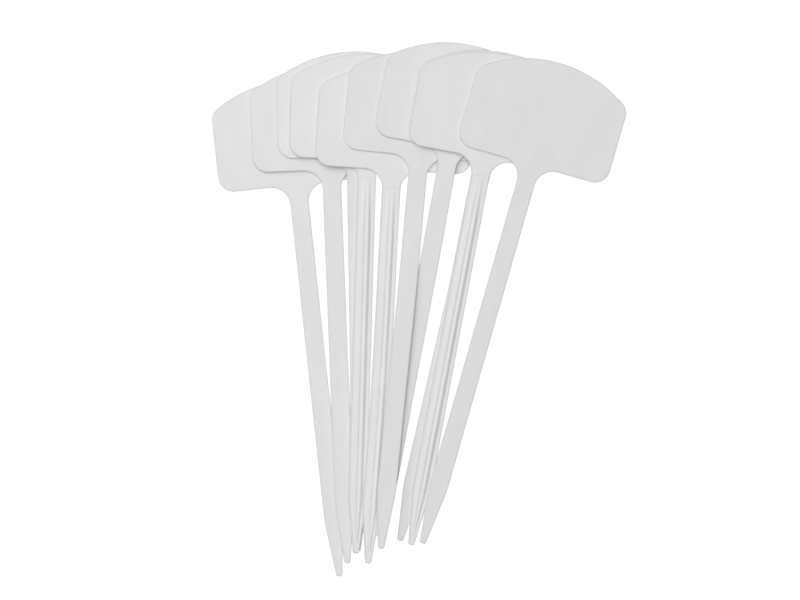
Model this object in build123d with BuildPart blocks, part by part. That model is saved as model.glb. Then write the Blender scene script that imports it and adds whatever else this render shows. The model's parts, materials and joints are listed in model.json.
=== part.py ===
from build123d import *

import os
from dataclasses import dataclass
from math import cos, radians, sin

import numpy as np
from scipy.optimize import linprog

# A fan of ten loose plant labels lying on a flat surface, in millimetres.
# +Y runs towards the heads, +X to the right seen from above and +Z up.
# The origin is on the surface, under the middle of the fan.

# Outline of one label, from its point to the top of its crown
label_length = 250.0
head_width = 78.5
head_height = 53.0
crown_radius = 65.0
lower_corner_radius = 8.0
upper_corner_radius = 7.0
neck_radius = 9.5
shaft_width = 9.3
taper_length = 28.0
point_width = 3.0
point_radius = 1.2

# Thickness of the plate and the rounding of its rims
plate_thickness = 0.9
rim_radius = 0.25

# Shallow recess in the back of the shaft, which ends in a step below the neck
recess_depth = 0.12
recess_margin = 0.6
recess_neck_gap = 9.0

# Stiffening rib along the middle of the recess, with sloping flanks and a groove along its crest
rib_base_width = 6.4
rib_crest_width = 2.6
rib_height = 0.75
rib_root = 0.05
groove_width = 2.0
groove_depth = 0.2

# The rib's ends: it narrows and sinks towards the point, and mostly sinks towards the neck
rib_point_gap = 6.0
rib_point_taper = 22.0
rib_point_share = 0.25
rib_neck_gap = 10.0
rib_neck_taper = 24.0
rib_neck_width_share = 0.8
rib_neck_height_share = 0.1

# The least gap between two labels of the pile
rest_gap = 0.12


@dataclass
class Lie:
    """How one label lies in the fan, seen from above."""

    point_x: float
    point_y: float
    lean: float  # degrees that the head leans to the right
    back_up: bool = False


# From the bottom of the pile to the top, measured from the point of the fifth label
fan = [
    Lie(-14.3, -6.6, -6.1),
    Lie(-10.8, 0.0, -2.2),
    Lie(-2.8, 6.1, -0.95),
    Lie(-6.1, 5.0, 1.65, back_up=True),
    Lie(0.0, 0.0, 3.55, back_up=True),
    Lie(6.3, 7.5, 5.65),
    Lie(5.3, 13.7, 10.4),
    Lie(16.0, 11.2, 12.85),
    Lie(21.5, 9.1, 10.6, back_up=True),
    Lie(27.2, 9.9, 15.95),
]

head_bottom = label_length - head_height
crown_centre = label_length - crown_radius
recess_end = head_bottom - recess_neck_gap
rib_end = head_bottom - rib_neck_gap
rib_stations = (rib_point_gap, rib_point_gap + rib_point_taper, rib_end - rib_neck_taper, rib_end)
rib_width_shares = (rib_point_share, 1.0, 1.0, rib_neck_width_share)
rib_height_shares = (rib_point_share, 1.0, 1.0, rib_neck_height_share)


# One label in its own frame: the point at the origin, +Y to the crown, the back of the plate on XY


def shaft_corners(end):
    """Corners of the shaft from its point up to a distance along it."""
    right = [(point_width / 2, 0), (shaft_width / 2, taper_length), (shaft_width / 2, end)]
    return right + [(-x, y) for x, y in reversed(right)]


def rib_corners(width_share, height_share):
    """Corners of the rib's section, from inside the plate out, at shares of its full width and height."""
    crest = recess_depth - rib_height * height_share
    right = [
        (rib_base_width / 2, plate_thickness / 2),
        (rib_base_width / 2, recess_depth + rib_root),
        (rib_crest_width / 2, crest),
        (groove_width / 2, crest),
    ]
    corners = right + [(0, crest + groove_depth * height_share)] + [(-x, z) for x, z in reversed(right)]
    return [(x * width_share, z) for x, z in corners]


with BuildPart() as rib:
    for along, width_share, height_share in zip(rib_stations, rib_width_shares, rib_height_shares):
        with BuildSketch(Plane.XZ.offset(-along)):
            with BuildLine():
                Polyline(*rib_corners(width_share, height_share), close=True)
            make_face()
    loft(ruled=True)

with BuildPart() as recess:
    with BuildSketch():
        with BuildLine():
            Polyline(*shaft_corners(recess_end + recess_margin), close=True)
        make_face()
        offset(amount=-recess_margin)
    extrude(amount=recess_depth)

with BuildPart() as moulding:
    with BuildSketch() as outline:
        with Locations((0, head_bottom)):
            Rectangle(head_width, head_height, align=(Align.CENTER, Align.MIN))
        with Locations((0, crown_centre)):
            Circle(crown_radius, mode=Mode.INTERSECT)
        fillet(outline.vertices().group_by(Axis.Y)[0], lower_corner_radius)
        fillet(outline.vertices().group_by(Axis.Y)[-1], upper_corner_radius)
        with BuildLine():
            Polyline(*shaft_corners(head_bottom), close=True)
        make_face()
        neck_corners = outline.vertices().sort_by(lambda corner: abs(corner.Y - head_bottom))[:4]
        fillet(neck_corners.sort_by(lambda corner: abs(corner.X))[:2], neck_radius)
        fillet(outline.vertices().group_by(Axis.Y)[0], point_radius)
    extrude(amount=plate_thickness)
    plate_sides = moulding.faces().sort_by(Axis.Z)
    fillet(plate_sides[0].edges() + plate_sides[-1].edges(), rim_radius)
    add(recess.part, mode=Mode.SUBTRACT)
    add(rib.part)


# How the pile settles. Each label is a stiff plate, and the lower face of its plate is the plane
# z = height + slope_x * x + slope_y * y, with x and y measured from its balance point. The planes are
# those that bring the balance points lowest with every label clear of the surface and of the others.

probe_rows = 250  # rows of places along a label at which it is kept clear


def half_width(along):
    """Half the label's width at distances from its point."""
    neck_rise = np.clip(along - head_bottom + neck_radius, 0, neck_radius)
    neck_flare = neck_radius - np.sqrt(neck_radius**2 - neck_rise**2)
    shaft = np.interp(along, (0, taper_length), (point_width / 2, shaft_width / 2)) + neck_flare
    corner_drop = np.clip(head_bottom + lower_corner_radius - along, 0, lower_corner_radius)
    corner_inset = lower_corner_radius - np.sqrt(lower_corner_radius**2 - corner_drop**2)
    crown_rise = np.clip(along - crown_centre, 0, crown_radius)
    crown = np.sqrt(crown_radius**2 - crown_rise**2)
    return np.where(along < head_bottom, shaft, np.minimum(head_width / 2 - corner_inset, crown))


def back_relief(along, across):
    """How far the rib stands out from the back of the plate, with its groove and the recess filled."""
    width_share = np.interp(along, rib_stations, rib_width_shares)
    height_share = np.interp(along, rib_stations, rib_height_shares)
    flank_edges = (rib_crest_width / 2, rib_base_width / 2)
    flank = np.interp(np.abs(across) / width_share, flank_edges, (rib_height, 0))
    on_rib = (along >= rib_point_gap) & (along <= rib_end)
    return np.where(on_rib, np.maximum(height_share * flank - recess_depth, 0), 0)


def to_plan(lie, along, across):
    """Positions in plan of places on a label."""
    lean = radians(lie.lean)
    x = lie.point_x + along * sin(lean) + across * cos(lean)
    y = lie.point_y + along * cos(lean) - across * sin(lean)
    return np.column_stack((x, y))


def from_plan(lie, plan):
    """Distances along and across a label of positions in plan."""
    lean = radians(lie.lean)
    x = plan[:, 0] - lie.point_x
    y = plan[:, 1] - lie.point_y
    return x * sin(lean) + y * cos(lean), x * cos(lean) - y * sin(lean)


def probes(lie):
    """Positions in plan along a label's rims, its head's lower edge, its shaft's sides and its rib."""
    along = np.linspace(0, label_length, probe_rows + 1)
    rim = half_width(along)
    columns = [rim, np.minimum(rim, shaft_width / 2), np.minimum(rim, rib_crest_width / 2)]
    lower_edge = np.linspace(0, head_width / 2 - lower_corner_radius, probe_rows // 5)
    along_all = np.concatenate([along] * 6 + [np.full_like(lower_edge, head_bottom)] * 2)
    across_all = np.concatenate([*columns, *(-column for column in columns), lower_edge, -lower_edge])
    return to_plan(lie, along_all, across_all)


def reach(lie, plan):
    """How far a label reaches below and above its plate's lower face, and which positions are on it."""
    along, across = from_plan(lie, plan)
    inside = (along >= 0) & (along <= label_length) & (np.abs(across) <= half_width(along) + rest_gap)
    relief = back_relief(along, across)
    if lie.back_up:
        return np.zeros_like(relief), plate_thickness + relief, inside
    return relief, np.full_like(relief, plate_thickness), inside


def settle(lies):
    """Balance point of each label in plan, and the height and the two slopes of its lower face there."""
    along = np.linspace(0, label_length, probe_rows + 1)
    balance = np.average(along, weights=half_width(along))
    centres = [to_plan(lie, np.array([balance]), np.array([0.0]))[0] for lie in lies]

    def plane_terms(index, plan):
        terms = np.zeros((len(plan), len(lies), 3))
        terms[:, index, 0] = 1
        terms[:, index, 1:] = plan - centres[index]
        return terms.reshape(len(plan), -1)

    rises = []
    least_rises = []
    for high, upper in enumerate(lies):
        plan = probes(upper)
        rises.append(plane_terms(high, plan))
        least_rises.append(reach(upper, plan)[0])
        for low, lower in enumerate(lies[:high]):
            plan = np.vstack((probes(lower), probes(upper)))
            _, top, on_lower = reach(lower, plan)
            bottom, _, on_upper = reach(upper, plan)
            shared = on_lower & on_upper
            rises.append((plane_terms(high, plan) - plane_terms(low, plan))[shared])
            least_rises.append((top + bottom + rest_gap)[shared])
    heights_only = np.tile((1.0, 0.0, 0.0), len(lies))
    rest = linprog(heights_only, -np.vstack(rises), -np.concatenate(least_rises), bounds=(None, None))
    return centres, rest.x.reshape(-1, 3)


def label_plane(lie, centre, resting):
    """The frame in which the moulding lies where the label does."""
    height, slope_x, slope_y = (float(value) for value in resting)
    lean = radians(lie.lean)
    level = height + slope_x * (lie.point_x - centre[0]) + slope_y * (lie.point_y - centre[1])
    up = Vector(-slope_x, -slope_y, 1).normalized()
    forward = Vector(sin(lean), cos(lean), slope_x * sin(lean) + slope_y * cos(lean)).normalized()
    right = forward.cross(up)
    point = Vector(lie.point_x - fan_middle[0], lie.point_y - fan_middle[1], level)
    if lie.back_up:
        return Plane(origin=point + up * plate_thickness, x_dir=-right, z_dir=-up)
    return Plane(origin=point, x_dir=right, z_dir=up)


fan_plan = np.vstack([probes(lie) for lie in fan])
fan_middle = (fan_plan.min(axis=0) + fan_plan.max(axis=0)) / 2
fan_centres, fan_resting = settle(fan)

os.makedirs("parts", exist_ok=True)
for number, (lie, centre, resting) in enumerate(zip(fan, fan_centres, fan_resting), start=1):
    with BuildPart(label_plane(lie, centre, resting)) as label:
        add(moulding.part)
    label.part.label = f"label_{number:02d}"
    export_step(label.part, f"parts/label_{number:02d}.step")
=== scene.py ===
"""A fan of loose white plant labels on a white studio floor.

Each label of the frame is drawn as one closed moulded skin: a front and a back worked out on grids of rows
and columns, joined by a rounded rim that is carried round the outline. Lengths are in metres and angles in
radians, unless a name says otherwise.
"""

import json
import logging
from dataclasses import dataclass, field
from enum import Enum
from math import asin, atan2, cos, pi, radians, sin, sqrt
from typing import Any

import bpy
import numpy as np
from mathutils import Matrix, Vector


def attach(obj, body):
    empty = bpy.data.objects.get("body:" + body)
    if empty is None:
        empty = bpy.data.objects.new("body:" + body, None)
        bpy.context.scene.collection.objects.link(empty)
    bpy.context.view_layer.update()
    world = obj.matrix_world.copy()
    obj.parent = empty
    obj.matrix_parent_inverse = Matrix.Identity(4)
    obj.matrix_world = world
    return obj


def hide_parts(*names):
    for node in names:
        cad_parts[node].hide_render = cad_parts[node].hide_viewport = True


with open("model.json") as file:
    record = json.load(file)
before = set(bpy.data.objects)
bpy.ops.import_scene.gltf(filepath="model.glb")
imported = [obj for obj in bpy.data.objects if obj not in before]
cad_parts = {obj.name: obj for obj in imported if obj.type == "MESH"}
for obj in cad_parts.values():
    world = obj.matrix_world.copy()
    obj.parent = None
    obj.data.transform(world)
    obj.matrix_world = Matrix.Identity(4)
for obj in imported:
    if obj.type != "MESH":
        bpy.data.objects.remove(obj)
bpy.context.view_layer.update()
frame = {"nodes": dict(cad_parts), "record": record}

Array = np.ndarray
Colour = tuple[float, float, float, float]

MM = 0.001
WHITE: Colour = (1.0, 1.0, 1.0, 1.0)

log = logging.getLogger("plant_labels")


class Side(Enum):
    """Sides of a label, each with its own finish. The value is the finish's slot on the mesh."""

    FRONT = 0
    BACK = 1


# Arrays that the surfaces are made of


def run(start: tuple[float, float], end: tuple[float, float], shares: Array) -> Array:
    """Rows on a straight run of an outline: the start plus each share of the way to the end.

    Args:
        start: Where the run starts, across and along the label.
        end: Where the run ends.
        shares: How far each row is along the run, from 0 to 1.

    Returns:
        One row per share: across, along, and the outward direction, which is to the right of the run.
    """
    way = np.subtract(end, start)
    outward = np.array((way[1], -way[0])) / np.linalg.norm(way)
    points = np.add(start, shares[:, None] * way)
    return np.hstack((points, np.broadcast_to(outward, points.shape)))


def arc(centre: tuple[float, float], radius: float, angles: Array, hollow: bool = False) -> Array:
    """Rows on an arc of an outline: the centre plus the radius times the cosine and sine of each angle.

    Args:
        centre: Centre of the arc, across and along the label.
        radius: Radius of the arc.
        angles: Angle of each row, from the direction across the label.
        hollow: True where the label lies outside the arc, as in an inner corner.

    Returns:
        One row per angle: across, along, and the outward direction.
    """
    direction = np.column_stack((np.cos(angles), np.sin(angles)))
    outward = -direction if hollow else direction
    return np.hstack((np.add(centre, radius * direction), outward))


def grid_quads(index: Array) -> Array:
    """Quads between the neighbouring rows and columns of a grid of vertex numbers.

    Args:
        index: Vertex numbers, rows by columns.

    Returns:
        Four vertex numbers per quad, counter-clockwise where the columns run right and the rows run up.
    """
    corners = (index[:-1, :-1], index[:-1, 1:], index[1:, 1:], index[1:, :-1])
    return np.stack(corners, axis=-1).reshape(-1, 4)


def round_trip(grid: Array) -> Array:
    """Values of a grid along its edge: up the right side, over the crown, down the left side and back."""
    return np.concatenate((grid[:-1, -1], grid[-1, :0:-1], grid[:0:-1, 0], grid[0, :-1]))


def mesh_from_arrays(name: str, points: Array, quads: Array) -> bpy.types.Mesh:
    """Makes a mesh of quads.

    Args:
        name: Name of the mesh.
        points: One vertex per row.
        quads: Four vertex numbers per row.

    Returns:
        The mesh, with smooth faces.
    """
    mesh = bpy.data.meshes.new(name)
    mesh.vertices.add(len(points))
    mesh.vertices.foreach_set("co", points.astype(np.float32).ravel())
    mesh.loops.add(quads.size)
    mesh.loops.foreach_set("vertex_index", quads.astype(np.int32).ravel())
    mesh.polygons.add(len(quads))
    mesh.polygons.foreach_set("loop_start", np.arange(0, quads.size, 4, dtype=np.int32))
    mesh.polygons.foreach_set("use_smooth", np.ones(len(quads), dtype=bool))
    mesh.update(calc_edges=True)
    mesh.validate()
    return mesh


# Finishes


@dataclass
class Graph:
    """A node tree with short ways to add nodes and to join them.

    Attributes:
        tree: The node tree.
    """

    tree: bpy.types.NodeTree

    def add(self, kind: str, values: dict[Any, Any] | None = None, **settings: Any) -> bpy.types.Node:
        """Adds a node.

        Args:
            kind: The node's type.
            values: Input name or number to a constant or to the socket that feeds it.
            settings: The node's own properties.

        Returns:
            The node.
        """
        node = self.tree.nodes.new(kind)
        for name, value in settings.items():
            setattr(node, name, value)
        for key, value in (values or {}).items():
            if isinstance(value, bpy.types.NodeSocket):
                self.tree.links.new(value, node.inputs[key])
            else:
                node.inputs[key].default_value = value
        return node

    def math(self, operation: str, *values: Any) -> bpy.types.NodeSocket:
        """Adds a sum, product or other operation on numbers and returns its result."""
        return self.add("ShaderNodeMath", dict(enumerate(values)), operation=operation).outputs[0]

    def remap(
        self, value: Any, low: float, high: float, to_low: float = 0.0, to_high: float = 1.0
    ) -> bpy.types.NodeSocket:
        """Adds a smooth change of range from low..high to to_low..to_high and returns its result."""
        ends = {"Value": value, "From Min": low, "From Max": high, "To Min": to_low, "To Max": to_high}
        return self.add("ShaderNodeMapRange", ends, interpolation_type="SMOOTHSTEP").outputs["Result"]

    def mix(self, share: Any, first: Any, second: Any) -> bpy.types.NodeSocket:
        """Adds a mix of two colours, the node's inputs 6 and 7, and returns its result, output 2."""
        node = self.add("ShaderNodeMix", {0: share, 6: first, 7: second}, data_type="RGBA")
        return node.outputs[2]


@dataclass(frozen=True)
class SharedEffect:
    """A shader node group with named inputs and outputs, built once and shared by the finishes.

    Attributes:
        name: Name of the group.
    """

    name: str

    def start(self, inputs: dict[str, str], outputs: dict[str, str]) -> tuple[Graph, Any, Any]:
        """Makes the empty group.

        Args:
            inputs: Socket name to socket type.
            outputs: Socket name to socket type.

        Returns:
            The group's graph, its input sockets and its output sockets.
        """
        tree = bpy.data.node_groups.new(self.name, "ShaderNodeTree")
        for in_out, sockets in (("INPUT", inputs), ("OUTPUT", outputs)):
            for name, kind in sockets.items():
                tree.interface.new_socket(name=name, in_out=in_out, socket_type=kind)
        graph = Graph(tree)
        return graph, graph.add("NodeGroupInput").outputs, graph.add("NodeGroupOutput").inputs

    def group(self) -> bpy.types.NodeTree:
        """Returns the group, and builds it the first time."""
        return bpy.data.node_groups.get(self.name) or self.build()

    def build(self) -> bpy.types.NodeTree:
        """Builds the group's nodes."""
        raise NotImplementedError


@dataclass(frozen=True)
class MouldGrain(SharedEffect):
    """The fine matt grain that a spark-eroded mould leaves: small pits on wider, softer swells.

    Attributes:
        swell_scale: How many swells there are to a pit.
        swell_height: Height of a swell, as a share of a pit's.
        tone_ends: Heights of a swell where the tone starts to change and where it has changed.
    """

    swell_scale: float = 0.2
    swell_height: float = 0.5
    tone_ends: tuple[float, float] = (0.3, 0.7)

    def build(self) -> bpy.types.NodeTree:
        """Builds the group: a noise with the pits' size, plus a share of a wider one for the swells.

        Returns:
            The group.
        """
        graph, given, made = self.start(
            {"Place": "NodeSocketVector", "Per Metre": "NodeSocketFloat"},
            {"Height": "NodeSocketFloat", "Tone": "NodeSocketFloat"},
        )
        fine = {"Vector": given["Place"], "Scale": given["Per Metre"], "Detail": 2.0, "Roughness": 0.6}
        pits = graph.add("ShaderNodeTexNoise", fine).outputs["Fac"]
        wide_scale = graph.math("MULTIPLY", given["Per Metre"], self.swell_scale)
        wide = {"Vector": given["Place"], "Scale": wide_scale, "Detail": 1.0}
        swells = graph.add("ShaderNodeTexNoise", wide).outputs["Fac"]
        height = graph.math("ADD", pits, graph.math("MULTIPLY", swells, self.swell_height))
        graph.tree.links.new(height, made["Height"])
        graph.tree.links.new(graph.remap(swells, *self.tone_ends), made["Tone"])
        return graph.tree


@dataclass(frozen=True)
class FlowClouds(SharedEffect):
    """Faint clouds where the plastic cooled unevenly, drawn out along the label as it flowed.

    Attributes:
        draw_out: How many clouds there are along the label to one across it.
        tone_ends: Values of the noise where a cloud starts and where it is whole.
    """

    draw_out: float = 0.35
    tone_ends: tuple[float, float] = (0.32, 0.68)

    def build(self) -> bpy.types.NodeTree:
        """Builds the group: a wide noise, stretched along the label.

        Returns:
            The group.
        """
        graph, given, made = self.start(
            {"Place": "NodeSocketVector", "Per Metre": "NodeSocketFloat"}, {"Tone": "NodeSocketFloat"}
        )
        stretch = {"Vector": given["Place"], "Scale": (1.0, self.draw_out, 1.0)}
        drawn = graph.add("ShaderNodeMapping", stretch).outputs[0]
        look = {"Scale": given["Per Metre"], "Detail": 3.0, "Roughness": 0.55, "Distortion": 0.6}
        clouds = graph.add("ShaderNodeTexNoise", {"Vector": drawn, **look}).outputs["Fac"]
        graph.tree.links.new(graph.remap(clouds, *self.tone_ends), made["Tone"])
        return graph.tree


@dataclass(frozen=True)
class HandlingScuffs(SharedEffect):
    """Hairline scuffs from labels that slid over each other, in two directions and in patches.

    Attributes:
        turns: Angles of the lines from the label's length.
        line_scale: How many lines there are in a metre across, along and through the label.
        line_ends: Values of the noise where a line starts and where it is whole.
        patches_per_metre: How many patches there are in a metre.
        patch_ends: Values of the noise where a patch starts and where it is whole.
    """

    turns: tuple[float, float] = (radians(17), radians(-38))
    line_scale: tuple[float, float, float] = (2600.0, 70.0, 900.0)
    line_ends: tuple[float, float] = (0.66, 0.74)
    patches_per_metre: float = 45.0
    patch_ends: tuple[float, float] = (0.48, 0.62)

    def build(self) -> bpy.types.NodeTree:
        """Builds the group: two stretched noises cut off near their top, within the patches of a third.

        Returns:
            The group.
        """
        graph, given, made = self.start({"Place": "NodeSocketVector"}, {"Mask": "NodeSocketFloat"})
        both = graph.math("MAXIMUM", *(self.hairlines(graph, given["Place"], turn) for turn in self.turns))
        patch_look = {"Vector": given["Place"], "Scale": self.patches_per_metre, "Detail": 2.0}
        patches = graph.add("ShaderNodeTexNoise", patch_look).outputs["Fac"]
        mask = graph.math("MULTIPLY", both, graph.remap(patches, *self.patch_ends))
        graph.tree.links.new(mask, made["Mask"])
        return graph.tree

    def hairlines(self, graph: Graph, place: bpy.types.NodeSocket, turn: float) -> bpy.types.NodeSocket:
        """Lines of one direction.

        Args:
            graph: The group's graph.
            place: Positions on the label.
            turn: The lines' angle from the label's length.

        Returns:
            A mask that is 1 on the lines.
        """
        turned = {"Vector": place, "Rotation": (0.0, 0.0, turn), "Scale": self.line_scale}
        stretched = graph.add("ShaderNodeMapping", turned).outputs[0]
        noise = graph.add("ShaderNodeTexNoise", {"Vector": stretched, "Scale": 1.0, "Detail": 1.0})
        return graph.remap(noise.outputs["Fac"], *self.line_ends)


GRAIN = MouldGrain("mould_grain")
CLOUDS = FlowClouds("flow_clouds")
SCUFFS = HandlingScuffs("handling_scuffs")


@dataclass(frozen=True)
class MouldedWhite:
    """White polypropylene as it leaves the mould.

    Attributes:
        name: Name of the material.
        colour: The plastic's own colour.
        cloud_colour: Its colour in the middle of a cloud.
        scuff_colour: Its colour on a scuff.
        rim_shade_colour: Its colour along the rims, darkened as painted shade where the rounded rims turn
            away from the light.
        roughness: Roughness where the grain's tone is lowest and where it is highest.
        grain_per_metre: How many pits there are in a metre.
        grain_depth: How deep the pits are.
        grain_strength: How much the pits turn the light.
        grain_tone: How much of the clouds' colour the grain takes on.
        clouds_per_metre: How many clouds there are in a metre.
        scuff_polish: How much smoother a scuff is.
        ior: Index of refraction.
    """

    name: str
    colour: Colour
    cloud_colour: Colour
    scuff_colour: Colour
    rim_shade_colour: Colour
    roughness: tuple[float, float]
    grain_per_metre: float
    grain_depth: float
    grain_strength: float = 0.5
    grain_tone: float = 0.35
    clouds_per_metre: float = 95.0
    scuff_polish: float = 0.12
    ior: float = 1.49

    @staticmethod
    def effect(graph: Graph, shared: SharedEffect, values: dict[str, Any]) -> Any:
        """Places a shared effect in the material and returns its outputs."""
        return graph.add("ShaderNodeGroup", values, node_tree=shared.group()).outputs

    def material(self) -> bpy.types.Material:
        """Builds the material.

        Returns:
            The material.
        """
        material = bpy.data.materials.new(self.name)
        material.use_nodes = True
        material.node_tree.nodes.clear()
        graph = Graph(material.node_tree)
        place = graph.add("ShaderNodeAttribute", attribute_name="place").outputs["Vector"]
        rim = graph.add("ShaderNodeAttribute", attribute_name="rim").outputs["Fac"]
        grain = self.effect(graph, GRAIN, {"Place": place, "Per Metre": self.grain_per_metre})
        clouds = self.effect(graph, CLOUDS, {"Place": place, "Per Metre": self.clouds_per_metre})
        scuffs = self.effect(graph, SCUFFS, {"Place": place})
        colour = graph.mix(clouds["Tone"], self.colour, self.cloud_colour)
        colour = graph.mix(graph.math("MULTIPLY", grain["Tone"], self.grain_tone), colour, self.cloud_colour)
        colour = graph.mix(scuffs["Mask"], colour, self.scuff_colour)
        # Painted shade: the rims are darkened in the colour itself, where they turn away from the light.
        colour = graph.mix(rim, colour, self.rim_shade_colour)
        roughness = graph.remap(grain["Tone"], 0.0, 1.0, *self.roughness)
        polish = graph.math("MULTIPLY", scuffs["Mask"], self.scuff_polish)
        roughness = graph.math("SUBTRACT", roughness, polish)
        pits = {"Height": grain["Height"], "Strength": self.grain_strength, "Distance": self.grain_depth}
        bump = graph.add("ShaderNodeBump", pits)
        skin = graph.add(
            "ShaderNodeBsdfPrincipled",
            {"Base Color": colour, "Roughness": roughness, "Normal": bump.outputs[0], "IOR": self.ior},
        )
        output = graph.add("ShaderNodeOutputMaterial", {"Surface": skin.outputs[0]})
        output.is_active_output = True
        return material


FRONT_FINISH = MouldedWhite(
    name="moulded_white_front",
    colour=(0.808, 0.808, 0.811, 1.0),
    cloud_colour=(0.784, 0.783, 0.785, 1.0),
    scuff_colour=(0.762, 0.761, 0.759, 1.0),
    rim_shade_colour=(0.745, 0.745, 0.748, 1.0),
    roughness=(0.50, 0.62),
    grain_per_metre=3200.0,
    grain_depth=0.012 * MM,
)
BACK_FINISH = MouldedWhite(
    name="moulded_white_back",
    colour=(0.811, 0.811, 0.814, 1.0),
    cloud_colour=(0.788, 0.787, 0.788, 1.0),
    scuff_colour=(0.767, 0.766, 0.763, 1.0),
    rim_shade_colour=(0.750, 0.750, 0.752, 1.0),
    roughness=(0.38, 0.48),
    grain_per_metre=2600.0,
    grain_depth=0.006 * MM,
)


# Labels


@dataclass(frozen=True)
class LabelSizes:
    """Sizes of one moulded label: those of its solid, with a few that only the drawn skin has."""

    # Outline, from the point to the top of the crown
    length: float = 250.0 * MM
    head_width: float = 78.5 * MM
    head_height: float = 53.0 * MM
    crown_radius: float = 65.0 * MM
    lower_corner: float = 8.0 * MM
    upper_corner: float = 7.0 * MM
    neck_radius: float = 9.5 * MM
    shaft_width: float = 9.3 * MM
    taper_length: float = 28.0 * MM
    point_width: float = 3.0 * MM
    point_corner: float = 1.2 * MM

    # Plate, its rounded rims, and the band along them in which the skin's rings lie
    thickness: float = 0.9 * MM
    rim_radius: float = 0.25 * MM
    edge_band: float = 0.9 * MM

    # Shallow recess in the back of the shaft, and how far the skin's steep steps slope there
    recess_depth: float = 0.12 * MM
    recess_margin: float = 0.6 * MM
    recess_neck_gap: float = 9.0 * MM
    wall_draft: float = 0.06 * MM

    # Rib along the recess, how far inside its base the skin's flanks end, and the groove along its crest
    rib_base_width: float = 6.4 * MM
    rib_crest_width: float = 2.6 * MM
    rib_height: float = 0.75 * MM
    rib_foot_inset: float = 0.25 * MM
    groove_width: float = 2.0 * MM
    groove_depth: float = 0.2 * MM

    # Ends of the rib, and its width and height there as shares of those in the middle
    rib_point_gap: float = 6.0 * MM
    rib_point_taper: float = 22.0 * MM
    rib_point_share: float = 0.25
    rib_neck_gap: float = 10.0 * MM
    rib_neck_taper: float = 24.0 * MM
    rib_neck_width_share: float = 0.8
    rib_neck_height_share: float = 0.1

    @property
    def head_bottom(self) -> float:
        """Distance from the point to the head's lower edge."""
        return self.length - self.head_height

    @property
    def crown_centre(self) -> float:
        """Distance from the point to the centre of the crown's arc."""
        return self.length - self.crown_radius

    @property
    def recess_end(self) -> float:
        """Distance from the point to the step at the recess's upper end."""
        return self.head_bottom - self.recess_neck_gap

    @property
    def rib_end(self) -> float:
        """Distance from the point to the rib's upper end."""
        return self.head_bottom - self.rib_neck_gap

    @property
    def rib_knots(self) -> Array:
        """Distances from the axis to the groove's edge, to the top of the flank and to its foot."""
        foot = self.rib_base_width / 2 - self.rib_foot_inset
        return np.array((self.groove_width / 2, self.rib_crest_width / 2, foot))

    def rib_shares(self, along: Array) -> tuple[Array, Array]:
        """Width and height of the rib's section.

        Args:
            along: Distances from the point.

        Returns:
            The widths and the heights, as shares of those in the middle of the shaft.
        """
        stations = (
            self.rib_point_gap,
            self.rib_point_gap + self.rib_point_taper,
            self.rib_end - self.rib_neck_taper,
            self.rib_end,
        )
        widths = (self.rib_point_share, 1.0, 1.0, self.rib_neck_width_share)
        heights = (self.rib_point_share, 1.0, 1.0, self.rib_neck_height_share)
        return np.interp(along, stations, widths), np.interp(along, stations, heights)

    def recess(self, along: Array) -> Array:
        """Depth of the recess at distances from the point: level, with a steep step at its upper end."""
        left = (self.recess_end + self.wall_draft - along) / (2 * self.wall_draft)
        return self.recess_depth * np.clip(left, 0.0, 1.0)

    def rib_relief(self, along: Array, across: Array) -> Array:
        """Height of the rib over the floor of the recess.

        Each flank is a smooth step from its foot to the level top, and the groove along the middle of the
        top is a squared cosine. The section is scaled by its shares, and stops with a steep step at both
        ends.

        Args:
            along: Distances from the point.
            across: Distances from the axis.

        Returns:
            The heights.
        """
        width_share, height_share = self.rib_shares(along)
        groove_edge, top, foot = self.rib_knots
        off_axis = np.abs(across) / width_share
        climb = np.clip((foot - off_axis) / (foot - top), 0.0, 1.0)
        flank = self.rib_height * climb**2 * (3.0 - 2.0 * climb)
        groove = self.groove_depth * np.cos(np.clip(off_axis / groove_edge, 0.0, 1.0) * pi / 2) ** 2
        begun = np.clip((along - self.rib_point_gap) / self.wall_draft, 0.0, 1.0)
        ended = np.clip((self.rib_end - along) / self.wall_draft, 0.0, 1.0)
        return height_share * (flank - groove) * begun * ended


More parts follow.
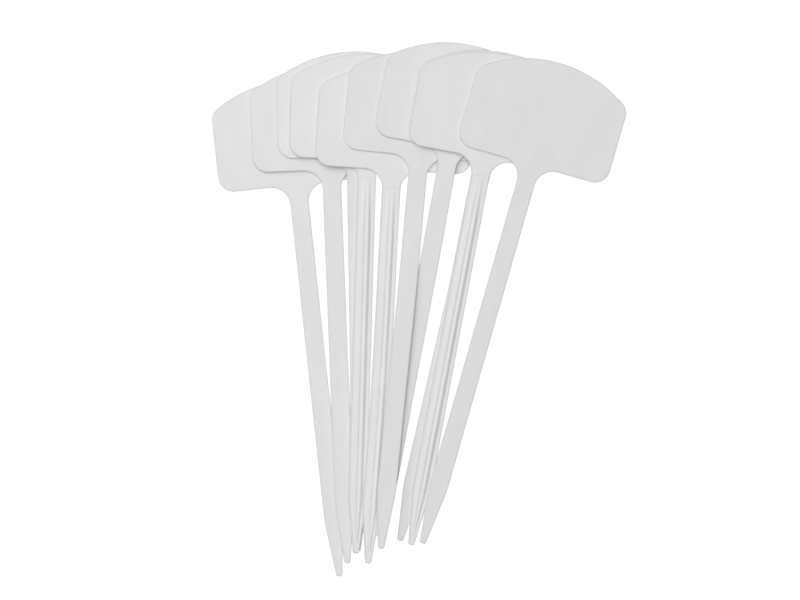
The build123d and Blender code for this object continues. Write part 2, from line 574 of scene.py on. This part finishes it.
@dataclass(frozen=True)
class Flex:
    """A gentle bend of a label, as thin plastic gives where labels cross and lean on each other.

    Attributes:
        rise: How far the shaft's lower part is pushed towards the front.
        full_until: Distance from the point up to which the shaft is pushed that far.
        none_from: Distance from the point where the label is flat again.
        sway: How far the middle of the swayed stretch is pushed to the right, seen from the front.
        sway_from: Distance from the point where that stretch starts.
        sway_to: Distance from the point where it ends.
        point_sway: How far the point is pushed to the right, seen from the front.
        bow: How far the middle of the head is pushed towards the front.
        wing_bend: How far one side of the head is pushed towards the front.
        wing_side: Which side that is, seen from the front: 1 for the right and -1 for the left.
        wing_from: Distance from the axis where that side starts to bend.
        head_from: Distance from the point where the bends of the head start.
    """

    rise: float = 0.0
    full_until: float = 110.0 * MM
    none_from: float = 190.0 * MM
    sway: float = 0.0
    sway_from: float = 0.0
    sway_to: float = 190.0 * MM
    point_sway: float = 0.0
    bow: float = 0.0
    wing_bend: float = 0.0
    wing_side: int = -1
    wing_from: float = 5.0 * MM
    head_from: float = 120.0 * MM

    @staticmethod
    def smooth_step(values: Array, start: float, end: float) -> Array:
        """Shares that rise from 0 at the start to 1 at the end, level at both."""
        share = np.clip((values - start) / (end - start), 0.0, 1.0)
        return share**2 * (3.0 - 2.0 * share)

    def bend(self, points: Array, sizes: LabelSizes) -> Array:
        """Moves places on a label.

        The rise follows a smooth step, the sway a squared sine, and the point's sway a parabola that starts
        where the rise is full. Across the head, the bow is a parabola that is 0 at both sides and the wing's
        bend one that grows towards its side. Both are whole on the head and fade down the shaft in a smooth
        step.

        Args:
            points: Places across, along and towards the front.
            sizes: The label's sizes.

        Returns:
            The places on the bent label.
        """
        across = points[:, 0]
        along = points[:, 1]
        half_head = sizes.head_width / 2
        rise = self.rise * self.smooth_step(along, self.none_from, self.full_until)
        bow = self.bow * (1.0 - (across / half_head) ** 2)
        outside = (self.wing_side * across - self.wing_from) / (half_head - self.wing_from)
        wing = self.wing_bend * np.clip(outside, 0.0, None) ** 2
        rise += (bow + wing) * self.smooth_step(along, self.head_from, sizes.head_bottom)
        stretch = np.clip((along - self.sway_from) / (self.sway_to - self.sway_from), 0.0, 1.0)
        sway = self.sway * np.sin(stretch * pi) ** 2
        sway += self.point_sway * np.clip(1.0 - along / self.full_until, 0.0, 1.0) ** 2
        return points + np.column_stack((sway, np.zeros_like(along), rise))


@dataclass(frozen=True)
class LabelAxes:
    """Where a label lies: the back of its point, and its directions to the right, along and to the front."""

    origin: Array
    right: Array
    along: Array
    front: Array

    @classmethod
    def of_node(cls, node: str, thickness: float) -> "LabelAxes":
        """Reads the axes from a solid of the frame.

        The front's direction is that of the large flat faces, turned away from the side where the rib is.

        Args:
            node: Name of the solid.
            thickness: Thickness of its plate.

        Returns:
            The label's axes.
        """
        mount = next(m for m in frame["record"]["mounts"] if m["name"] == f"{node}_point")
        middle = np.array(mount["pos_m"])
        along = -np.array(mount["axis"])
        mesh = frame["nodes"][node].data
        areas = np.empty(len(mesh.polygons), dtype=np.float32)
        normals = np.empty(3 * len(mesh.polygons), dtype=np.float32)
        points = np.empty(3 * len(mesh.vertices), dtype=np.float32)
        mesh.polygons.foreach_get("area", areas)
        mesh.polygons.foreach_get("normal", normals)
        mesh.vertices.foreach_get("co", points)
        flat = normals.reshape(-1, 3)[areas > areas.max() / 2]
        front = (flat * np.sign(flat[:, 2:])).mean(axis=0)
        front = front - along * (front @ along)
        front = front / np.linalg.norm(front)
        reach = (points.reshape(-1, 3) - middle) @ front
        if reach.max() > -reach.min():
            front = -front
        return cls(middle - front * thickness / 2, np.cross(along, front), along, front)

    def place(self, local: Array) -> Array:
        """Positions in the frame of places given across, along and towards the front."""
        return self.origin + local @ np.vstack((self.right, self.along, self.front))


@dataclass(frozen=True)
class SkinGrid:
    """How finely a label's skin is divided.

    Attributes:
        point_rows: Rows on the corner of the point.
        row_gap: Distance between the rows of the shaft.
        neck_rows: Rows on the neck's hollow curve.
        neck_lead: How far the row from the neck's end runs ahead in the middle.
        edge_rows: Rows on the head's lower edge.
        lower_rows: Rows on the head's lower corner.
        side_rows: Rows on the head's side.
        upper_rows: Rows on the head's upper corner.
        crown_rows: Rows on the crown.
        crown_half_row: Half the width of the last row, on the crown.
        span_columns: Columns in the groove, on the rest of the rib's top, on its flank and to the rim.
        span_limits: How far out the first three of these may end, as shares of the half width.
        band_rings: Rings on the level band of the front.
        turn_rings: Rings on each quarter circle of the rim.
        sharp_angle: Angle between faces from which an edge is sharp.
    """

    point_rows: int = 9
    row_gap: float = 2.0 * MM
    neck_rows: int = 24
    neck_lead: float = 5.0 * MM
    edge_rows: int = 13
    lower_rows: int = 14
    side_rows: int = 15
    upper_rows: int = 8
    crown_rows: int = 24
    crown_half_row: float = 12.0 * MM
    span_columns: tuple[int, ...] = (5, 2, 8, 10)
    span_limits: tuple[float, ...] = (0.3, 0.5, 0.97)
    band_rings: int = 2
    turn_rings: int = 6
    sharp_angle: float = radians(40)


@dataclass
class PlantLabel:
    """One label of the fan.

    Attributes:
        node: Name of its solid and of its body.
        number: Its number from the bottom of the fan.
        sizes: Its sizes.
        flex: How it bends.
        grid: How its skin is divided.
    """

    node: str
    number: int
    sizes: LabelSizes = field(default_factory=LabelSizes)
    flex: Flex = field(default_factory=Flex)
    grid: SkinGrid = field(default_factory=SkinGrid)

    def shaft_side(self) -> Array:
        """Right side of the shaft: the corner of the point, the taper, the straight side and the neck.

        Returns:
            One row per place: across, along, and the outward direction.
        """
        s = self.sizes
        half_shaft = s.shaft_width / 2
        half_point = s.point_width / 2
        lean = atan2(half_shaft - half_point, s.taper_length)
        point_centre = (half_point - s.point_corner * (1 - sin(lean)) / cos(lean), s.point_corner)
        point = arc(point_centre, s.point_corner, np.linspace(-pi / 2, -lean, self.grid.point_rows))
        taper_stops = self.stops(point[-1, 1], s.taper_length, s.edge_band * sin(lean))
        taper = run((half_point, 0.0), (half_shaft, s.taper_length), taper_stops / s.taper_length)
        neck_start = s.head_bottom - s.neck_radius
        shaft_stops = self.stops(s.taper_length, neck_start)
        shaft = run((half_shaft, 0.0), (half_shaft, s.length), shaft_stops / s.length)
        recess_steps = s.recess_end - neck_start + s.wall_draft * np.array((-1, 1))
        recess_turns = np.arcsin(recess_steps / (s.neck_radius + s.edge_band))
        even_turns = np.linspace(0.0, pi / 2, self.grid.neck_rows, endpoint=False)
        neck_turns = np.union1d(even_turns, recess_turns)
        neck = arc((half_shaft + s.neck_radius, neck_start), s.neck_radius, pi - neck_turns, hollow=True)
        return np.vstack((point, taper, shaft, neck))

    def head_side(self) -> Array:
        """Right side of the head: the lower edge, a corner, the side, a corner and half of the crown.

        Returns:
            One row per place: across, along, and the outward direction.
        """
        s = self.sizes
        grid = self.grid
        half_head = s.head_width / 2
        neck_end = s.shaft_width / 2 + s.neck_radius
        lower_across = half_head - s.lower_corner
        lower_along = s.head_bottom + s.lower_corner
        upper_across = half_head - s.upper_corner
        upper_rise = sqrt((s.crown_radius - s.upper_corner) ** 2 - upper_across**2)
        upper_along = s.crown_centre + upper_rise
        crown_start = atan2(upper_rise, upper_across)
        crown_stop = pi / 2 - asin(grid.crown_half_row / s.crown_radius)
        edge_shares = np.linspace(0.0, 1.0, grid.edge_rows, endpoint=False)
        edge = run((neck_end, s.head_bottom), (lower_across, s.head_bottom), edge_shares)
        lower_turns = np.linspace(-pi / 2, 0.0, grid.lower_rows, endpoint=False)
        lower = arc((lower_across, lower_along), s.lower_corner, lower_turns)
        side_shares = np.linspace(0.0, 1.0, grid.side_rows, endpoint=False)
        side = run((half_head, lower_along), (half_head, upper_along), side_shares)
        upper_turns = np.linspace(0.0, crown_start, grid.upper_rows, endpoint=False)
        upper = arc((upper_across, upper_along), s.upper_corner, upper_turns)
        crown_turns = np.linspace(crown_start, crown_stop, grid.crown_rows)
        crown = arc((0.0, s.crown_centre), s.crown_radius, crown_turns)
        return np.vstack((edge, lower, side, upper, crown))

    def stops(self, start: float, end: float, lead: float = 0.0) -> Array:
        """Distances of rows on the outline, with rows of the grid on both sides of the rib's end steps.

        Args:
            start: Distance from the point that the rows come after.
            end: Distance that the rows end before.
            lead: How much further along the grid's rows lie than those on the outline.

        Returns:
            The distances, without the start and the end.
        """
        s = self.sizes
        even = np.linspace(start, end, int((end - start) / self.grid.row_gap) + 1)
        steps = [s.rib_point_gap, s.rib_point_gap + s.wall_draft, s.rib_end - s.wall_draft, s.rib_end]
        return np.union1d(even[1:-1], [stop - lead for stop in steps if start < stop < end])

    def middles(self, ends: Array) -> Array:
        """Where each row crosses the label's axis.

        Up to the neck the rows are straight. From there they run ahead in the middle, in proportion to the
        distance along their ends, so that they pass the head's lower edge and end on the crown.

        Args:
            ends: The rows' right ends, across and along.

        Returns:
            The distance from the point, for each row.
        """
        s = self.sizes
        travelled = np.concatenate(([0.0], np.cumsum(np.hypot(*np.diff(ends, axis=0).T))))
        first = int(np.argmax(ends[:, 1] > s.recess_end + s.rim_radius))
        neck_end = int(np.argmax(ends[:, 0] > s.shaft_width / 2 + s.neck_radius))
        knots = [travelled[first], travelled[neck_end], travelled[-1]]
        heights = [ends[first, 1], s.head_bottom + self.grid.neck_lead, s.length - s.edge_band]
        ahead = np.interp(travelled, knots, heights)
        return np.where(travelled < travelled[first], ends[:, 1], ahead)

    def columns(self, half_width: Array, along: Array) -> Array:
        """The columns' places across each row.

        Each half row has four spans: the groove, the rest of the rib's top, the flank, and from there to the
        row's end. A column keeps its share of its span in every row.

        Args:
            half_width: Half the width of each row.
            along: Distance of each row from the point.

        Returns:
            The places across, by row and column.
        """
        width_share, _ = self.sizes.rib_shares(along)
        rib_edges = width_share[:, None] * self.sizes.rib_knots
        limits = half_width[:, None] * np.array(self.grid.span_limits)
        knots = np.column_stack((np.zeros_like(along), np.minimum(rib_edges, limits), half_width))
        counts = self.grid.span_columns
        span = np.repeat(np.arange(len(counts)), counts)
        share = np.concatenate([np.arange(1, count + 1) / count for count in counts])
        across = knots[:, span] + (knots[:, span + 1] - knots[:, span]) * share
        return np.hstack((-across[:, ::-1], np.zeros((len(along), 1)), across))

    def rim_rings(self) -> Array:
        """The rings of the rim, from the front's grid round to the back's.

        A level band on each side leads to a quarter circle, and the wall between the two is straight.
        On the back, the band steps down into the recess.

        Returns:
            One row per ring: distance inside the outline, height over the back of the plate, and share of
            the recess's depth.
        """
        s = self.sizes
        turn = np.linspace(0.0, pi / 2, self.grid.turn_rings)
        inset = s.rim_radius * (1 - np.sin(turn))
        drop = s.rim_radius * (1 - np.cos(turn))
        front_insets = np.linspace(s.edge_band, s.rim_radius, self.grid.band_rings + 2)[1:-1]
        front_band = [(inside, s.thickness, 0.0) for inside in front_insets]
        front_turn = np.column_stack((inset, s.thickness - drop, np.zeros_like(turn)))
        back_turn = np.column_stack((inset, drop, np.zeros_like(turn)))[::-1]
        brink = s.recess_margin - s.wall_draft
        back_band = [(brink, 0.0, 0.0), (s.recess_margin, 0.0, 1.0)]
        return np.vstack((front_band, front_turn, back_turn, back_band))

    def plan(self) -> tuple[Array, Array]:
        """Places of the rows and columns that both sides share, and the outward directions along their edge.

        Row r and column c lie at the column's place across, and along at the row's middle plus the square of
        the column's share of the half width times what the row's end lies further.

        Returns:
            The places and the directions, across and along, by row and column. Directions inside are 0.
        """
        s = self.sizes
        outline = np.vstack((self.shaft_side(), self.head_side()))
        outline_outward = outline[:, 2:]
        ends = outline[:, :2] - s.edge_band * outline_outward
        middle = self.middles(ends)[:, None]
        across = self.columns(ends[:, 0], middle[:, 0])
        along = middle + (ends[:, 1:] - middle) * (across / ends[:, :1]) ** 2
        places = np.dstack((across, along))
        outward = np.zeros_like(places)
        outward[:, -1] = outline_outward
        outward[:, 0] = outline_outward * (-1, 1)
        outward[0, 1:-1] = (0, -1)
        from_centre = places[-1] - (0.0, s.crown_centre)
        outward[-1] = from_centre / np.linalg.norm(from_centre, axis=1)[:, None]
        return places, outward

    def rim(self, edge: Array, outward: Array) -> tuple[Array, Array]:
        """The rounded rim: the edge of the grids, moved outwards to each ring and set at its height.

        Args:
            edge: Places once round the grids, across and along.
            outward: The outward directions there.

        Returns:
            The vertices by ring and place, and how far each ring takes the painted shade of the rim, from 0
            to 1.
        """
        s = self.sizes
        rings = self.rim_rings()
        reach = s.edge_band - rings[:, 0]
        plan = edge[None] + reach[:, None, None] * outward[None]
        height = rings[:, 1:2] + rings[:, 2:] * s.recess(edge[None, :, 1])
        return np.dstack((plan, height)), np.clip(reach / s.rim_radius, 0.0, 1.0)

    def surface(self) -> tuple[Array, Array, Array, Array]:
        """The label's closed skin in its own axes: a grid for each side, and the rim as a belt between them.

        Returns:
            The vertices, their shares of the painted shade along the rim, the quads, and the side of each
            quad.
        """
        s = self.sizes
        places, outward = self.plan()
        across = places[:, :, 0]
        along = places[:, :, 1]
        front = np.dstack((places, np.full_like(across, s.thickness)))
        back = np.dstack((places, s.recess(along) - s.rib_relief(along, across)))
        rim, ring_shade_shares = self.rim(round_trip(places), round_trip(outward))
        points = np.vstack((front.reshape(-1, 3), back.reshape(-1, 3), rim.reshape(-1, 3)))
        rings, ring_length, _ = rim.shape
        on_sides = 2 * across.size
        front_index = np.arange(across.size).reshape(across.shape)
        back_index = front_index + across.size
        rim_index = on_sides + np.arange(rings * ring_length).reshape(rings, ring_length)
        belt = np.vstack((round_trip(front_index), rim_index, round_trip(back_index)))
        belt = np.hstack((belt, belt[:, :1]))
        rim_shade_share = np.concatenate((np.zeros(on_sides), np.repeat(ring_shade_shares, ring_length)))
        parts = [grid_quads(front_index), grid_quads(back_index)[:, ::-1], grid_quads(belt)[:, ::-1]]
        part_sides = [Side.FRONT.value, Side.BACK.value, Side.FRONT.value]
        sides = np.repeat(part_sides, [len(part) for part in parts])
        return points, rim_shade_share, np.vstack(parts), sides

    def build(self, finishes: dict[Side, bpy.types.Material]) -> bpy.types.Object:
        """Makes the label's piece where its solid lies, and dresses it.

        The finishes' patterns are laid out on the flat label, in its own axes. Each label takes its patterns
        two head widths further on than the one before, so that no two look alike.

        Args:
            finishes: The finish of each side.

        Returns:
            The piece.
        """
        points, rim_shade_share, quads, sides = self.surface()
        axes = LabelAxes.of_node(self.node, self.sizes.thickness)
        bent = axes.place(self.flex.bend(points, self.sizes))
        mesh = mesh_from_arrays(f"{self.node}_skin", bent, quads)
        mesh.set_sharp_from_angle(angle=self.grid.sharp_angle)
        apart = np.array((self.number * 2 * self.sizes.head_width, 0.0, 0.0))
        place = mesh.attributes.new("place", "FLOAT_VECTOR", "POINT")
        place.data.foreach_set("vector", (points + apart).astype(np.float32).ravel())
        # The rim attribute carries how much painted shade each place along the rims takes.
        rim = mesh.attributes.new("rim", "FLOAT", "POINT")
        rim.data.foreach_set("value", rim_shade_share.astype(np.float32))
        for side in Side:
            mesh.materials.append(finishes[side])
        mesh.polygons.foreach_set("material_index", sides.astype(np.int32))
        piece = bpy.data.objects.new(f"{self.node}_skin", mesh)
        bpy.context.scene.collection.objects.link(piece)
        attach(piece, self.node)
        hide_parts(self.node)
        return piece


@dataclass
class LabelFan:
    """The fan of labels, from the bottom to the top.

    Attributes:
        flexed: The labels that bend, and how.
    """

    flexed: dict[str, Flex] = field(
        default_factory=lambda: {
            "label_01": Flex(bow=1.0 * MM),
            "label_02": Flex(point_sway=0.5 * MM, wing_bend=-1.2 * MM),
            "label_03": Flex(point_sway=-2.4 * MM, wing_bend=-1.6 * MM),
            "label_04": Flex(wing_bend=0.5 * MM, wing_side=1),
            "label_05": Flex(sway=-0.75 * MM),
            "label_06": Flex(rise=2.3 * MM, sway=0.3 * MM, sway_from=60.0 * MM, sway_to=200.0 * MM),
            "label_07": Flex(rise=-1.75 * MM, sway=0.3 * MM, sway_from=60.0 * MM, sway_to=220.0 * MM),
            "label_08": Flex(sway=-1.4 * MM, sway_from=125.0 * MM, sway_to=255.0 * MM),
        }
    )

    def build(self) -> list[bpy.types.Object]:
        """Makes every label of the frame.

        Returns:
            The pieces.
        """
        finishes = {Side.FRONT: FRONT_FINISH.material(), Side.BACK: BACK_FINISH.material()}
        return [
            PlantLabel(node, number, flex=self.flexed.get(node, Flex())).build(finishes)
            for number, node in enumerate(sorted(frame["nodes"]), start=1)
        ]


# Studio


@dataclass
class Studio:
    """White floor, soft light and a camera straight above.

    Attributes:
        picture_width: Width of what the camera sees, at the height of the labels.
        picture_centre: What the middle of the picture shows, in the frame.
        lens_mm: The camera's focal length.
        sensor_mm: Width of its sensor.
        floor_reach: Half the floor's width.
        floor_rows: Rows of the floor's grid.
        floor_colour: The floor's colour.
        floor_roughness: The floor's roughness.
        floor_glow: How much the floor shines by itself.
        floor_spill: Share of that glow that falls on the labels.
        gap_reach: How near a label has to be to darken the floor.
        gap_open: How much of the space over a place is open where its glow starts and where it is whole.
        gap_glow: Share of the glow that is left in the narrowest gaps, where it is dimmed as painted shade.
        gap_samples: How many directions are tried to find how open a place is.
        lamp_place: Where the lamp is.
        lamp_width: How wide the lamp is, which softens the shadows.
        lamp_power: How strong the lamp is, in watts.
        fill_angle: How wide the light from straight above looks.
        fill_strength: How strong that light is.
        sky_strength: How strong the light from all round is.
    """

    picture_width: float = 400.0 * MM
    picture_centre: tuple[float, float, float] = (-9.68 * MM, 4.76 * MM, 4.0 * MM)
    lens_mm: float = 300.0
    sensor_mm: float = 36.0
    floor_reach: float = 8.0
    floor_rows: int = 9
    floor_colour: Colour = (0.25, 0.25, 0.25, 1.0)
    floor_roughness: float = 0.9
    floor_glow: float = 0.92
    floor_spill: float = 0.3
    gap_reach: float = 8.0 * MM
    gap_open: tuple[float, float] = (0.04, 0.11)
    gap_glow: float = 0.18
    gap_samples: int = 32
    lamp_place: tuple[float, float, float] = (-1.2, 1.2, 2.6)
    lamp_width: float = 4.25
    lamp_power: float = 74.0
    fill_angle: float = 1.0
    fill_strength: float = 1.0
    sky_strength: float = 0.137

    def build(self) -> None:
        """Makes the floor, the lights and the camera."""
        self.build_floor()
        self.build_light()
        self.build_camera()

    def build_floor(self) -> None:
        """Makes a square floor on a grid of even steps, which glows except in narrow gaps between labels,
        where the glow is dimmed as painted shade.
        """
        steps = np.linspace(-self.floor_reach, self.floor_reach, self.floor_rows)
        across, along = np.meshgrid(steps, steps)
        points = np.dstack((across, along, np.zeros_like(across))).reshape(-1, 3)
        mesh = mesh_from_arrays("floor", points, grid_quads(np.arange(len(points)).reshape(across.shape)))
        material = bpy.data.materials.new("white_floor")
        material.use_nodes = True
        material.node_tree.nodes.clear()
        graph = Graph(material.node_tree)
        # Painted shade: the floor's glow is dimmed where labels close in over it.
        reach = {"Distance": self.gap_reach}
        above = graph.add("ShaderNodeAmbientOcclusion", reach, samples=self.gap_samples)
        glows = self.gap_glow * self.floor_glow, self.floor_glow
        glow = graph.remap(above.outputs["AO"], *self.gap_open, *glows)
        seen = graph.add("ShaderNodeLightPath").outputs["Is Camera Ray"]
        glow = graph.math("MULTIPLY", glow, graph.remap(seen, 0.0, 1.0, self.floor_spill, 1.0))
        paint = graph.add(
            "ShaderNodeBsdfPrincipled",
            {
                "Base Color": self.floor_colour,
                "Roughness": self.floor_roughness,
                "Specular IOR Level": 0.0,
                "Emission Color": WHITE,
                "Emission Strength": glow,
            },
        )
        graph.add("ShaderNodeOutputMaterial", {"Surface": paint.outputs[0]})
        mesh.materials.append(material)
        floor = bpy.data.objects.new("floor", mesh)
        bpy.context.scene.collection.objects.link(floor)

    def build_light(self) -> None:
        """Makes a round lamp at the upper left, broad light from straight above and an even white sky."""
        lamp = bpy.data.lights.new("lamp", "AREA")
        lamp.shape = "DISK"
        lamp.size = self.lamp_width
        lamp.energy = self.lamp_power
        self.place_light(lamp, self.lamp_place)
        fill = bpy.data.lights.new("fill", "SUN")
        fill.angle = self.fill_angle
        fill.energy = self.fill_strength
        self.place_light(fill, (0.0, 0.0, self.lamp_place[2]))
        world = bpy.data.worlds.new("sky")
        world.use_nodes = True
        light = world.node_tree.nodes["Background"].inputs
        light["Color"].default_value = WHITE
        light["Strength"].default_value = self.sky_strength
        bpy.context.scene.world = world
        bpy.context.scene.view_settings.view_transform = "Standard"

    @staticmethod
    def place_light(light: bpy.types.Light, place: tuple[float, float, float]) -> None:
        """Puts a light in the scene, turned towards the fan and unseen by the camera.

        Args:
            light: The light.
            place: Where it is.
        """
        holder = bpy.data.objects.new(light.name, light)
        holder.location = place
        holder.rotation_mode = "QUATERNION"
        holder.rotation_quaternion = (-Vector(place)).to_track_quat("-Z", "Y")
        holder.visible_camera = False
        bpy.context.scene.collection.objects.link(holder)

    def build_camera(self) -> None:
        """Makes a camera straight above, far enough to see the picture's width."""
        lens = bpy.data.cameras.new("camera")
        lens.lens = self.lens_mm
        lens.sensor_width = self.sensor_mm
        camera = bpy.data.objects.new("camera", lens)
        distance = self.picture_width * self.lens_mm / self.sensor_mm
        camera.location = Vector(self.picture_centre) + Vector((0.0, 0.0, distance))
        bpy.context.scene.collection.objects.link(camera)
        bpy.context.scene.camera = camera


def main() -> None:
    """Builds the labels and the studio, and reports each piece."""
    logging.basicConfig(level=logging.INFO, format="%(message)s")
    for piece in LabelFan().build():
        log.info("%s: %d faces", piece.name, len(piece.data.polygons))
    Studio().build()


if __name__ == "__main__":
    main()
